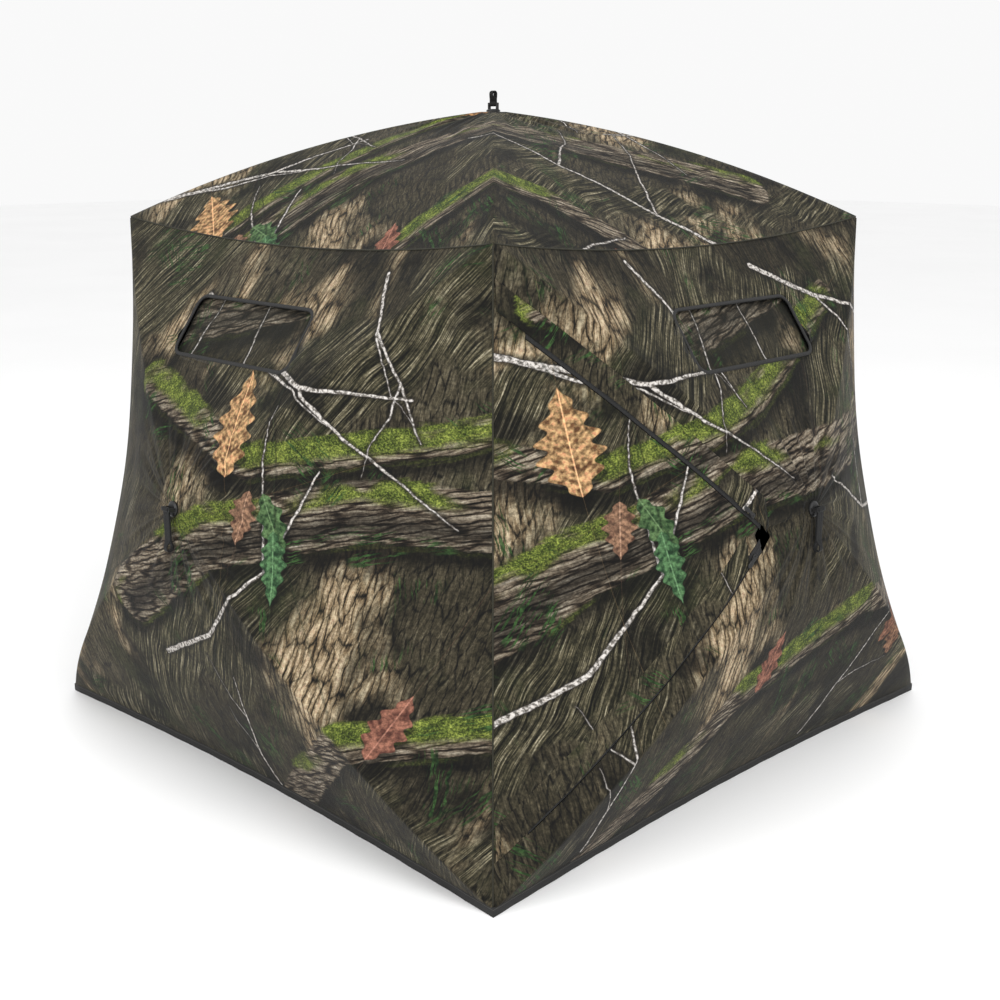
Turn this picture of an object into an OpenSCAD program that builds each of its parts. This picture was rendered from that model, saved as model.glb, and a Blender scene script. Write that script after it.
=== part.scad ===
// Pop-up ground blind. Four fabric walls and a roof are each pushed out by a hub with four bowed poles.
// The origin is on the ground under the roof hub, and +Z is up. Wall 0 faces -Y, and the others follow
// every 90 degrees anticlockwise: 1 faces +X and holds the door, 2 faces +Y, 3 faces -X. Panel 4 is the roof.
// A panel's own frame has its origin on the outer face of the cloth at its hub, and +Z is the way it pops.

/* [Blind] */
// Height of the four corners where the roof meets the walls
eave_z = 1420; // [1390:5:1440]
// Half the side of the square between those corners
eave_half = 716; // [700:1:730]
// Half the side of the square between the ground corners
base_half = 900; // [885:1:915]
// Height of the roof cloth at its hub
apex_z = 1700; // [1680:5:1720]
// Distance from the middle axis to the cloth at a wall hub
hub_reach = 1075; // [1060:1:1090]
// Height of a wall hub
hub_z = 778; // [760:1:790]

/* [Cloth] */
// Thickness of the cloth and its lining
cloth = 2.6; // [2:0.1:3]
// How far a corner seam is pulled in where it is narrowest
seam_pull = 88; // [70:1:95]
// How far an eave seam sags below its two corners
eave_sag = 46; // [30:1:50]
// How far an eave seam is pulled in at its middle
eave_pull = 12; // [0:1:20]
// How far the hem is pulled in at its middle
hem_pull = 34; // [20:1:40]
// Height of the binding along the ground
hem_h = 18; // [14:1:22]

/* [Poles] */
// Diameter of a fibreglass rod
rod_d = 9.5; // [7.9:0.1:9.5]
// Outward bow of an upper wall pole
upper_bow = 20; // [15:1:30]
// Outward bow of a lower wall pole
lower_bow = 60; // [45:1:65]
// Upward bow of a roof pole
roof_bow = 40; // [30:1:45]
// Distance from a corner to the tips of its poles
tip_back = 60; // [55:1:65]

/* [Hubs] */
// Radius of a hub's body
hub_r = 32; // [30:0.5:33]
// Radius of the outer cap
cap_r = 19; // [18.5:0.5:22]
// Radius of a pole's hinge pin
pin_r = 2; // [1.5:0.1:2.2]
// Width of a pull strap's webbing
strap_w = 25; // [20:1:25]

/* [Windows] */
// Clear width of a window
window_w = 460; // [430:5:480]
// Clear height of a window, along the cloth
window_h = 158; // [140:2:170]
// Share of the way from the eave to the hub where a window's middle lies
window_at = 0.365; // [0.35:0.005:0.38]
// Width of the binding round a window
binding = 6; // [5:0.5:8]

/* [Door] */
// Share of the way from the corner seam to the hub where the door starts
door_from = 0.085; // [0.08:0.005:0.1]
// Gap between the upper front pole and the zipper, as a share of the corner seam
zip_upper = 0.097; // [0.09:0.001:0.105]
// Gap between the lower front pole and the zipper, as a share of the corner seam
zip_lower = 0.066; // [0.06:0.001:0.075]
// Width of the zipper tape
tape = 20; // [16:1:22]

/* [Hidden] */
WALLS = ["front", "right", "back", "left"];
PANELS = concat(WALLS, ["roof"]);
ENDS = [["upper_left", "upper_right", "lower_right", "lower_left"],
        ["front_left", "front_right", "back_right", "back_left"]];
ROOF = 4;
DOOR_WALL = 1;
SIDE_EDGE = 3;
node = "all";

function pole_name(p, i) = str("pole_", PANELS[p], "_", ENDS[p == ROOF ? 1 : 0][i]);

NODES = concat(
    [for (w = WALLS) str("wall_", w)],
    ["roof", "hem", "corner_pockets_top", "corner_pockets_bottom"],
    [for (p = PANELS) for (part = ["hub", "hub_pins", "hub_cap", "pull_strap"]) str(part, "_", p)],
    [for (p = [0:ROOF]) for (i = [0:3]) pole_name(p, i)],
    [for (w = WALLS) for (part = ["window_frame", "window_cover"]) str(part, "_", w)],
    ["door_panel", "door_zipper_tape", "zipper_slider_upper", "zipper_slider_lower"]);

camo = "#5b5a45";
black = "#1b1b1c";
fibreglass = "#30332f";
steel = "#a9adb0";

lean = atan((base_half - eave_half) / (eave_z - hem_h));
wall_out = [0, -cos(lean), sin(lean)];
wall_up = [0, sin(lean), cos(lean)];
wall_hub = [0, -hub_reach, hub_z];
roof_hub = [0, 0, apex_z];
flat_r = hub_r + 2;
bolt_r = 4;
bolt_hole_r = bolt_r + 2;
pin_out = 24;
pin_deep = 13;
rod_under = rod_d / 2 + cloth + 5.5;
tip_under = 22;
grip_r = rod_d / 2 + 1.75;
tip_len = 26;
ferrule_from = 18;
ferrule_len = 52;
blade = 8;
blade_h = 9;
blade_t = 7;
blade_from = 4;
pocket_gap = 1.2;
pocket_wall = 1.8;
hub_top = cloth + 0.9;
hub_low = 25;
cap_gap = 0.4;
bar_h = 20;
bar_r = 2.5;
strap_t = 2.2;

rows = [0, 0.05, 0.13, 0.25, 0.4, 0.56, 0.72, 0.86, 1];
columns = 8;

// ---- the shape of the cloth ----

function lerp(a, b, t) = a + (b - a) * t;
function unit(v) = v / norm(v);
function turned(p, a) = [p.x * cos(a) - p.y * sin(a), p.x * sin(a) + p.y * cos(a), p.z];

// Moves a point of the outer face outward by about this many millimetres.
// Panels that share a seam agree there.
function lifted(p, by) =
    [p.x * (1 + by / 1000), p.y * (1 + by / 1000), hem_h + (p.z - hem_h) * (1 + by / 1600)];

wall_corners = [[-eave_half, -eave_half, eave_z], [eave_half, -eave_half, eave_z],
                [base_half, -base_half, hem_h], [-base_half, -base_half, hem_h]];
roof_corners = [for (i = [0:3]) turned(wall_corners[0], 90 * i)];

function corners(p) = p == ROOF ? roof_corners : wall_corners;
function hub_at(p) = p == ROOF ? roof_hub : wall_hub;
function out_of(p) = p == ROOF ? [0, 0, 1] : wall_out;
function bow(p, i) = p == ROOF ? roof_bow : i < 2 ? upper_bow : lower_bow;

// How an edge leaves its straight chord. s runs from 0 to 1 along the edge.
function eave_shift(s) = [0, eave_pull * sin(180 * s), -eave_sag * pow(sin(180 * s), 0.8)];
function hem_shift(s) = [0, hem_pull * sin(180 * s), 0];
function seam_shift(height, side) = seam_pull * sin(180 * pow(height, 0.87)) * [-side, 1, 0] / sqrt(2);
function edge_shift(p, edge, s) =
    p == ROOF ? turned(eave_shift(s), 90 * edge) :
    edge == 0 ? eave_shift(s) :
    edge == 1 ? seam_shift(1 - s, 1) :
    edge == 2 ? hem_shift(s) : seam_shift(s, -1);

// Direction from a panel's hub towards its corner, square to the way it pops
function spoke(p, i) = let (d = corners(p)[i] - hub_at(p), out = out_of(p)) unit(d - (d * out) * out);

// The line of the cloth over a pole, from its corner at u = 0 to the rim of the hub at u = 1
function ridge(p, i, u) =
    lerp(corners(p)[i], hub_at(p) + flat_r * spoke(p, i), u) + 4 * bow(p, i) * u * (1 - u) * out_of(p);

// A point of the outer face: edge 0 to 3, s along that edge, u from the edge to the hub
function on_cloth(p, edge, s, u) =
    let (next = (edge + 1) % 4, across = lerp(spoke(p, edge), spoke(p, next), s))
    lerp(ridge(p, edge, u), ridge(p, next, u), s)
    + pow(1 - u, 2) * edge_shift(p, edge, s)
    + flat_r * pow(u, 12) * (unit(across) - across);

// A closed slab between two grids of points, each a list of rows. A ring's rows close on themselves.
module slab(outer, inner, ring) {
    n = len(outer);
    m = len(outer[0]);
    last = ring ? m - 1 : m - 2;
    function at(layer, i, j) = (layer * n + i) * m + j % m;
    function split(a, b, c, d) = [[a, b, c], [a, c, d]];
    skins = [for (i = [0:n - 2]) for (j = [0:last]) each concat(
        split(at(0, i, j), at(0, i, j + 1), at(0, i + 1, j + 1), at(0, i + 1, j)),
        split(at(1, i, j), at(1, i + 1, j), at(1, i + 1, j + 1), at(1, i, j + 1)))];
    rims = [for (j = [0:last]) each concat(
        split(at(0, 0, j), at(1, 0, j), at(1, 0, j + 1), at(0, 0, j + 1)),
        split(at(0, n - 1, j), at(0, n - 1, j + 1), at(1, n - 1, j + 1), at(1, n - 1, j)))];
    sides = ring ? [] : [for (i = [0:n - 2]) each concat(
        split(at(0, i, 0), at(0, i + 1, 0), at(1, i + 1, 0), at(1, i, 0)),
        split(at(0, i, m - 1), at(1, i, m - 1), at(1, i + 1, m - 1), at(0, i + 1, m - 1)))];
    points = [for (layer = [outer, inner]) for (row = layer) each row];
    polyhedron(points, concat(skins, rims, sides));
}

// The whole cloth of a panel, with a round hole for the hub's bolt
module cloth_shell(p) {
    around = [for (edge = [0:3]) for (j = [0:columns - 1]) [edge, j / columns]];
    face = concat(
        [for (u = rows) [for (a = around) on_cloth(p, a[0], a[1], u)]],
        [[for (a = around) lerp(hub_at(p), on_cloth(p, a[0], a[1], 1), bolt_hole_r / flat_r)]]);
    slab(face, [for (row = face) [for (q = row) lifted(q, -cloth)]], true);
}

// ---- placing ----

module turn_wall(p) {
    rotate([0, 0, 90 * p]) children();
}

module at_panel(p) {
    if (p == ROOF)
        translate(roof_hub) children();
    else
        turn_wall(p) translate(wall_hub) rotate([90 - lean, 0, 0]) children();
}

function in_panel(p, d) = p == ROOF ? d : [d.x, d * wall_up, d * wall_out];
function corner_in(p, i) = in_panel(p, corners(p)[i] - hub_at(p));

// Puts +X along a pole's spoke and +Y along the way its panel pops
module in_pole_plane(p, i) {
    c = corner_in(p, i);
    at_panel(p) rotate([0, 0, atan2(c.y, c.x)]) rotate([90, 0, 0]) children();
}

// ---- walls, roof and hem ----

function window_point(u) = on_cloth(0, 0, 0.5, u);

// Puts the origin in the middle of a window, +Y up along the cloth and +Z out
module at_window(p) {
    along = window_point(window_at - 0.1) - window_point(window_at + 0.1);
    turn_wall(p) translate(window_point(window_at)) rotate([atan2(along.z, along.y), 0, 0]) children();
}

module window_outline(grow) {
    round_r = 26;
    w = window_w + 2 * grow - 2 * round_r;
    h = window_h + 2 * grow - 2 * round_r;
    hull()
        for (x = [-w / 2, w / 2], y = [-h / 2, h / 2])
            translate([x, y]) circle(round_r, $fn = 24);
}

module wall(p) {
    color(camo) difference() {
        turn_wall(p) cloth_shell(p);
        at_window(p) translate([0, 0, -20]) linear_extrude(40) window_outline(binding);
        if (p == DOOR_WALL) turn_wall(p) door_patch(-tape_share, door_from, 30, -30);
    }
}

module roof() {
    color(camo) cloth_shell(ROOF);
}

module hem() {
    line = [for (k = [0:3]) for (j = [0:columns - 1]) turned(on_cloth(0, 2, 1 - j / columns, 0), 90 * k)];
    function at_height(q, z) = [q.x, q.y, z];
    outer = [for (q = line) at_height(lifted(q, 1.2), 0)];
    outer_top = [for (q = line) at_height(lifted(q, 1.2), hem_h)];
    inner = [for (q = line) at_height(lifted(q, -4.5), 0)];
    inner_top = [for (q = line) at_height(lifted(q, -4.5), hem_h)];
    color(black) slab([outer_top, outer], [inner_top, inner], true);
}

// ---- poles ----

// In a pole's own plane: x from the hub outwards, y along the way the panel pops
function reach(p, i) = let (c = corner_in(p, i)) norm([c.x, c.y]);
function drop(p, i) = -corner_in(p, i).z;
function cloth_y(p, i, u) = -drop(p, i) * (1 - u) + 4 * bow(p, i) * u * (1 - u);
function cloth_x(p, i, u) = lerp(reach(p, i), flat_r, u);
pin_at = [pin_out, -pin_deep];
function tip_at(p, i) =
    let (u = tip_back / (reach(p, i) - flat_r))
    [cloth_x(p, i, u), cloth_y(p, i, u) - tip_under];
function chord(p, i) = norm(tip_at(p, i) - pin_at);
function chord_angle(p, i) = let (d = tip_at(p, i) - pin_at) atan2(d.y, d.x);
function rod_rise(p, i) =
    let (share = (cloth_x(p, i, 0.5) - pin_at.x) / (tip_at(p, i).x - pin_at.x))
    cloth_y(p, i, 0.5) - rod_under - lerp(pin_at.y, tip_at(p, i).y, share);
function rod_radius(p, i) = let (l = chord(p, i), b = rod_rise(p, i)) (l * l / 4 + b * b) / (2 * b);
function half_turn(p, i) = asin(chord(p, i) / 2 / rod_radius(p, i));

// Puts +X along the chord from the hinge pin to the tip
module along_chord(p, i) {
    in_pole_plane(p, i) translate(pin_at) rotate([0, 0, chord_angle(p, i)]) children();
}

module pole(p, i) {
    rod_r = rod_radius(p, i);
    half = half_turn(p, i);
    length = chord(p, i);
    rod_start = (ferrule_from + ferrule_len / 2) / length;
    rod_end = tip_len / 2 / length;
    color(fibreglass) along_chord(p, i) difference() {
        union() {
            cylinder(r = grip_r, h = blade, center = true, $fn = 48);
            rotate([0, 0, half]) {
                translate([blade_from, -blade_h / 2, -blade_t / 2])
                    cube([ferrule_from + 2, blade_h, blade_t]);
                translate([ferrule_from, 0, 0]) rotate([0, 90, 0])
                    cylinder(r = grip_r, h = ferrule_len, $fn = 48);
            }
            translate([length / 2, rod_rise(p, i) - rod_r, 0])
                rotate([0, 0, 90 - half * (1 - 2 * rod_end)])
                rotate_extrude(angle = 2 * half * (1 - rod_start - rod_end), $fn = 48)
                translate([rod_r, 0]) circle(d = rod_d);
            translate([length, 0, 0]) rotate([0, 0, -half]) rotate([0, -90, 0])
                cylinder(r = grip_r, h = tip_len, $fn = 48);
        }
        cylinder(r = pin_r + 0.06, h = blade + 2, center = true, $fn = 48);
    }
}

// The sewn webbing cup that takes a pole's tip
module pocket(p, i) {
    inner_r = grip_r + pocket_gap;
    in_pole_plane(p, i) translate(tip_at(p, i)) rotate([0, 0, chord_angle(p, i) - half_turn(p, i)])
        rotate([0, -90, 0]) translate([0, 0, -5]) difference() {
            cylinder(r = inner_r + pocket_wall, h = tip_len + 9, $fn = 48);
            translate([0, 0, 3]) cylinder(r = inner_r, h = tip_len + 9, $fn = 48);
        }
}

module corner_pockets_top() {
    color(black) {
        for (p = [0:3], i = [0, 1]) pocket(p, i);
        for (i = [0:3]) pocket(ROOF, i);
    }
}

module corner_pockets_bottom() {
    color(black) for (p = [0:3], i = [2, 3]) pocket(p, i);
}

// ---- hubs ----

module hub(p) {
    slot = blade + 0.6;
    color(black) difference() {
        at_panel(p) translate([0, 0, -hub_low]) cylinder(r = hub_r, h = hub_low - hub_top, $fn = 64);
        at_panel(p) translate([0, 0, -hub_low - 1]) cylinder(r = bolt_r + 0.05, h = hub_low, $fn = 48);
        for (i = [0:3]) in_pole_plane(p, i) {
            translate([13, -hub_low - 1, -slot / 2]) cube([hub_r, hub_low + 2, slot]);
            translate(pin_at) cylinder(r = pin_r + 0.02, h = 25, center = true, $fn = 48);
        }
    }
}

module hub_pins(p) {
    color(steel) for (i = [0:3])
        in_pole_plane(p, i) translate(pin_at) cylinder(r = pin_r, h = 24, center = true, $fn = 48);
}

// The outer cap with its riveted bolt, and two ears that hold the strap's bar
module hub_cap(p) {
    ear = 3;
    ear_x = strap_w / 2 + 1.3;
    color(black) at_panel(p) union() {
        translate([0, 0, cap_gap]) cylinder(r = cap_r, h = 4, $fn = 64);
        translate([0, 0, cap_gap + 4]) cylinder(r1 = cap_r, r2 = cap_r - 5, h = 3, $fn = 64);
        translate([0, 0, -hub_low - 4]) cylinder(r = bolt_r, h = hub_low + 8, $fn = 48);
        translate([0, 0, -hub_low - 4.2]) cylinder(r = 8, h = 4, $fn = 48);
        for (side = [-1, 1])
            translate([side * (ear_x + ear / 2) - ear / 2, -4.5, 2]) cube([ear, 9, bar_h + 2]);
        translate([0, 0, bar_h]) rotate([0, 90, 0])
            cylinder(r = bar_r, h = 2 * ear_x + ear, center = true, $fn = 48);
    }
}

// A folded webbing loop. Its eye goes round the cap's bar, and it runs along -Y.
module strap_loop(tail, loop_r) {
    eye_r = bar_r + 0.5;
    end = tail + 2.4 * loop_r;
    translate([0, 0, -strap_w / 2]) linear_extrude(strap_w) difference() {
        union() {
            circle(eye_r + strap_t, $fn = 32);
            translate([-strap_t, -tail]) square([2 * strap_t, tail - eye_r]);
            hull() {
                translate([0, -end]) circle(loop_r + strap_t, $fn = 32);
                translate([0, -tail + 4]) circle(strap_t, $fn = 32);
            }
        }
        circle(eye_r, $fn = 32);
        hull() {
            translate([0, -end]) circle(loop_r, $fn = 32);
            translate([0, -tail - 4]) circle(0.5, $fn = 32);
        }
    }
}

module pull_strap(p) {
    color(black)
        if (p == ROOF)
            translate(roof_hub + [0, 0, bar_h]) rotate([0, 0, 90]) rotate([-90, 0, 0]) strap_loop(10, 7);
        else
            turn_wall(p) translate(wall_hub + bar_h * wall_out) rotate([90, 0, 90]) strap_loop(76, 8);
}

// ---- windows ----

module window_frame(p) {
    color(black) at_window(p) translate([0, 0, -5]) linear_extrude(6.5) difference() {
        window_outline(binding - 0.5);
        window_outline(0);
    }
}

module window_cover(p) {
    color(camo) at_window(p) translate([0, 0, -12.5]) linear_extrude(3) window_outline(15);
}

// ---- door ----

seam_len = norm(wall_corners[0] - wall_corners[3]);
// Shares are along the seam. A zipper crosses the facet at a slant, so that a share
// is about 0.7 of that length wide.
tape_share = tape / 2 / seam_len / 0.7;
play_share = 0.0016;
hem_play = 0.004;
zip_tip = 1 - 1.12 * (zip_upper + zip_lower);
slider_at = 0.775;
slider_lift = 2.4;

function moved(face, by) = [for (row = face) [for (q = row) lifted(q, by)]];

// Share along the seam of a zipper line, moved into the door by the share `in`. The upper zipper is side 1.
function zip_s(side, u, in) = side > 0 ? 1 - (zip_upper + in) / (1 - u) : (zip_lower + in) / (1 - u);

// A patch of the door wall's side facet. It starts at the share `from` and ends near the hub. Its upper and
// lower edges run along the zippers, moved into the door by the share `in`.
module door_patch(in, from, top, low) {
    tip = zip_tip - 2.24 * in;
    function patch_point(i, j) =
        let (u = lerp(from, tip, i / 10))
        on_cloth(0, SIDE_EDGE, lerp(zip_s(-1, u, in), zip_s(1, u, in), j / 6), u);
    face = [for (i = [0:10]) [for (j = [0:6]) patch_point(i, j)]];
    slab(moved(face, top), moved(face, low), false);
}

module door_panel() {
    color(camo) turn_wall(DOOR_WALL)
        door_patch(tape_share + play_share, door_from + hem_play, 0, -cloth);
}

module tape_strip(side) {
    half = tape_share - play_share;
    function strip_point(i, j) =
        let (u = lerp(door_from + hem_play, zip_tip - 0.02, i / 10))
        on_cloth(0, SIDE_EDGE, zip_s(side, u, j * half), u);
    face = [for (i = [0:10]) [for (j = [-1, 1]) strip_point(i, j * side)]];
    slab(moved(face, -0.2), moved(face, -cloth), false);
}

module door_zipper_tape() {
    color(black) turn_wall(DOOR_WALL) for (side = [1, -1]) tape_strip(side);
}

// The slider body over the tape, with its pull tab along the zipper. Both zippers are closed at the hub end.
module zipper_slider(side) {
    function line(u) = on_cloth(0, SIDE_EDGE, zip_s(side, u, 0), u);
    here = line(slider_at);
    along = unit(line(slider_at - 0.02) - here);
    normal = unit(cross(along, here - on_cloth(0, SIDE_EDGE, zip_s(side, slider_at, 0.02), slider_at)));
    out = normal.y < 0 ? normal : -normal;
    beside = cross(out, along);
    color(black) turn_wall(DOOR_WALL)
        multmatrix([[along.x, beside.x, out.x, here.x], [along.y, beside.y, out.y, here.y],
                    [along.z, beside.z, out.z, here.z], [0, 0, 0, 1]])
        translate([0, 0, slider_lift]) {
            translate([-8, -5, 0]) cube([16, 10, 5]);
            translate([-30, -4, 5]) cube([32, 8, 2]);
        }
}

// ---- all nodes ----

function shown(name) = node == "all" || node == name;

for (p = [0:3]) if (shown(str("wall_", WALLS[p]))) wall(p);
if (shown("roof")) roof();
if (shown("hem")) hem();
if (shown("corner_pockets_top")) corner_pockets_top();
if (shown("corner_pockets_bottom")) corner_pockets_bottom();
for (p = [0:ROOF]) if (shown(str("hub_", PANELS[p]))) hub(p);
for (p = [0:ROOF]) if (shown(str("hub_pins_", PANELS[p]))) hub_pins(p);
for (p = [0:ROOF]) if (shown(str("hub_cap_", PANELS[p]))) hub_cap(p);
for (p = [0:ROOF]) if (shown(str("pull_strap_", PANELS[p]))) pull_strap(p);
for (p = [0:ROOF], i = [0:3]) if (shown(pole_name(p, i))) pole(p, i);
for (p = [0:3]) if (shown(str("window_frame_", WALLS[p]))) window_frame(p);
for (p = [0:3]) if (shown(str("window_cover_", WALLS[p]))) window_cover(p);
if (shown("door_panel")) door_panel();
if (shown("door_zipper_tape")) door_zipper_tape();
if (shown("zipper_slider_upper")) zipper_slider(1);
if (shown("zipper_slider_lower")) zipper_slider(-1);
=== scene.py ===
"""Looks of the pop-up ground blind: cloth panels, bindings, windows, the zipped door, webbing and camera.

Lengths are in metres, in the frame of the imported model: the origin is on the ground under the roof hub, and
+Z is up. Wall 0 faces -Y and the others follow every 90 degrees anticlockwise. Panel 4 is the roof. On a
panel, u runs from 0 at its edge to 1 at the rim of its hub, and s runs along one of its four edges.
"""

import math
import random

import bmesh
import bpy
import numpy as np
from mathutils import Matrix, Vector


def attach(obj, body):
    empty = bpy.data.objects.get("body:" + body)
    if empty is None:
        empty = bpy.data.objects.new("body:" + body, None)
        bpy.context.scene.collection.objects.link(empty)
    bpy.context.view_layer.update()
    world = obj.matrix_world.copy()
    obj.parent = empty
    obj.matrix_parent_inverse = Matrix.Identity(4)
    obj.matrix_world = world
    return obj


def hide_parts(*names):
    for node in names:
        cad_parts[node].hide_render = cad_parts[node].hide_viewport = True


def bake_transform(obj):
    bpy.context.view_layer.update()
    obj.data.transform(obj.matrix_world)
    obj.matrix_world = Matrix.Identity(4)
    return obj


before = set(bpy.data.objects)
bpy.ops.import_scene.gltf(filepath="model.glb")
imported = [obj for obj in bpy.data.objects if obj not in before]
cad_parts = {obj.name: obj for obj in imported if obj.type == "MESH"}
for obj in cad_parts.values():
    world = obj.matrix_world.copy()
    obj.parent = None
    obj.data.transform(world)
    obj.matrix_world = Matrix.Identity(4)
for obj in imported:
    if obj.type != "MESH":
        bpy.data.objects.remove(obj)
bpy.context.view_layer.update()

WALLS = ["front", "right", "back", "left"]
PANELS = WALLS + ["roof"]
ROOF = 4
DOOR_WALL = 1
DOOR_EDGE = 3
ROOT = "canopy"

# ---- the cloth's shape, as in the part's source ----

EAVE_Z, EAVE_HALF, BASE_HALF, APEX_Z = 1.420, 0.716, 0.900, 1.700
HUB_REACH, HUB_Z = 1.075, 0.778
SEAM_PULL, EAVE_SAG, EAVE_PULL, HEM_PULL, HEM_H = 0.088, 0.046, 0.012, 0.034, 0.018
UPPER_BOW, LOWER_BOW, ROOF_BOW = 0.020, 0.060, 0.040
FLAT_R, BOLT_HOLE = 0.034, 0.006
WINDOW_W, WINDOW_H, WINDOW_AT = 0.460, 0.158, 0.365
WINDOW_ROUND, BINDING = 0.026, 0.006
DOOR_FROM, ZIP_UPPER, ZIP_LOWER, TAPE = 0.085, 0.097, 0.066, 0.020
SLIDER_AT = 0.775
BAR_H, BAR_R = 0.020, 0.003
STRAP_W, WEB_T = 0.025, 0.0022
# tail and loop radius of the folded pull straps
WALL_STRAP, ROOF_STRAP = (0.076, 0.008), (0.010, 0.007)

# ---- sizes that only the looks have ----

PRINTED_CLOTH, COVER_CLOTH, FLAP_CLOTH, TAPE_CLOTH = 0.0011, 0.0008, 0.0009, 0.0007
SEAM_R, SEAM_FLAT, SEAM_LIFT = 0.0019, 0.6, 0.0012
COVER_LAP, COVER_HEM, COVER_BEHIND = 0.014, 0.002, 0.0135
DOOR_LIFT = 0.0006
DOOR_BEND = 0.05
# how far the cloth would lag behind its hub, as a share of the hub's travel, because the poles stay rigid;
# bends_with_hub works this out but does not apply it
POLE_LAG = 0.0115
# grid points across a facet, and across the door
FACET_COLS, DOOR_COLS, DOOR_ROWS = 57, 46, 56
PRINT_GAMMA = 1.25

# camera, from the photograph's angle
CAMERA_FROM_AXIS, CAMERA_Z, CAMERA_DOWN = 3.9486, 1.6361, 14.7
CAMERA_LENS, CAMERA_SHIFT = 49.96, 0.0067
FLOOR_HALF = 30.0

LEAN = math.atan((BASE_HALF - EAVE_HALF) / (EAVE_Z - HEM_H))
WALL_OUT = np.array([0, -math.cos(LEAN), math.sin(LEAN)])
WALL_UP = np.array([0, math.sin(LEAN), math.cos(LEAN)])
WALL_HUB = np.array([0, -HUB_REACH, HUB_Z])
ROOF_HUB = np.array([0, 0, APEX_Z])
WALL_CORNERS = np.array([[-EAVE_HALF, -EAVE_HALF, EAVE_Z], [EAVE_HALF, -EAVE_HALF, EAVE_Z],
                         [BASE_HALF, -BASE_HALF, HEM_H], [-BASE_HALF, -BASE_HALF, HEM_H]])

# the door's zippers: widths as shares of the corner seam, and the u at which the two zippers would meet
SEAM_LEN = float(np.linalg.norm(WALL_CORNERS[0] - WALL_CORNERS[3]))
TAPE_SHARE = TAPE / 2 / SEAM_LEN / 0.7
PLAY_SHARE = 0.0010
FLAP_SHARE = 0.036
# how fast the point of a strip between the zippers moves away from the hub with the strip's inset
TIP_SLOPE = 2.24
ZIP_TIP = 1 - TIP_SLOPE / 2 * (ZIP_UPPER + ZIP_LOWER)
GAP_TIP = ZIP_TIP + TIP_SLOPE * TAPE_SHARE


def turned(p, quarter):
    """Points turned about Z by a number of quarter turns."""
    c, s = [(1, 0), (0, 1), (-1, 0), (0, -1)][quarter % 4]
    p = np.asarray(p, float)
    return np.stack([p[..., 0] * c - p[..., 1] * s, p[..., 0] * s + p[..., 1] * c, p[..., 2]], -1)


ROOF_CORNERS = np.array([turned(WALL_CORNERS[0], i) for i in range(4)])


def unit(v):
    return v / np.linalg.norm(v, axis=-1, keepdims=True)


def corners(p):
    return ROOF_CORNERS if p == ROOF else WALL_CORNERS


def hub_at(p):
    return ROOF_HUB if p == ROOF else WALL_HUB


def out_of(p):
    return np.array([0, 0, 1.0]) if p == ROOF else WALL_OUT


def bow(p, i):
    return ROOF_BOW if p == ROOF else (UPPER_BOW if i < 2 else LOWER_BOW)


def arch(s):
    return np.maximum(np.sin(np.pi * s), 0)


def seam_shift(height, side):
    pull = SEAM_PULL * arch(np.clip(height, 0, 1) ** 0.87) / math.sqrt(2)
    return np.stack([-side * pull, pull, 0 * pull], -1)


def edge_shift(p, edge, s):
    if p == ROOF or edge == 0:
        shift = np.stack([0 * s, EAVE_PULL * arch(s), -EAVE_SAG * arch(s) ** 0.8], -1)
        return turned(shift, edge) if p == ROOF else shift
    if edge == 1:
        return seam_shift(1 - s, 1)
    if edge == 2:
        return np.stack([0 * s, HEM_PULL * arch(s), 0 * s], -1)
    return seam_shift(s, -1)


def spoke(p, i):
    d = corners(p)[i] - hub_at(p)
    return unit(d - (d @ out_of(p)) * out_of(p))


def ridge(p, i, u):
    u = u[..., None]
    rim = hub_at(p) + FLAT_R * spoke(p, i)
    return corners(p)[i] * (1 - u) + rim * u + 4 * bow(p, i) * u * (1 - u) * out_of(p)


def on_cloth(p, edge, s, u):
    """Points of the outer face, for wall 0 or the roof."""
    s, u = np.broadcast_arrays(np.asarray(s, float), np.asarray(u, float))
    nxt = (edge + 1) % 4
    t, v = s[..., None], u[..., None]
    across = spoke(p, edge) * (1 - t) + spoke(p, nxt) * t
    return (ridge(p, edge, u) * (1 - t) + ridge(p, nxt, u) * t + (1 - v) ** 2 * edge_shift(p, edge, s)
            + FLAT_R * v ** 12 * (unit(across) - across))


# ---- tension folds in the cloth ----

def folds(p, edge, s, u):
    """How far the pulled cloth dips between its folds. It is 0 along the poles, the seams and the hub."""
    seed = 7 * p + edge
    between = arch(s) ** 0.7
    fan = (np.sin(2 * np.pi * (5 * s + 0.37 * seed)) + 0.6 * np.sin(2 * np.pi * (11 * s + 0.61 * seed)))
    near_hub = fan * np.exp(-((u - 0.83) / 0.13) ** 2) * 0.0032
    slack = (np.sin(2 * np.pi * (1.5 * s + 2.2 * u + 0.21 * seed))
             * np.sin(2 * np.pi * (2.3 * u - 0.8 * s + 0.13 * seed)))
    loose = slack * arch(u) * 0.0030
    off_edge = u > 0
    edge_puckers = np.sin(2 * np.pi * (34 * s + 0.3 * seed)) * np.exp(-u / 0.018) * 0.0009 * off_edge
    creases = sum(np.sin(9 * np.arctan2(u + 0.01, c + 0.02) + seed)
                  * np.exp(-(np.hypot(c, u) / 0.22) ** 2) for c in (s, 1 - s))
    corner = creases * 0.0030 * off_edge * np.minimum(u / 0.04, 1)
    return between * (near_hub + loose + edge_puckers + corner) - 0.0012 * between * off_edge


def cloth_point(p, edge, s, u, lift=0.0):
    """Points of the finished cloth of panel p, in the model's frame."""
    s, u = np.broadcast_arrays(np.asarray(s, float), np.asarray(u, float))
    local = 0 if p != ROOF else ROOF
    q = on_cloth(local, edge, s, u) + (folds(p, edge, s, u) + lift)[..., None] * out_of(p)
    return turned(q, p) if p != ROOF else q


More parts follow.
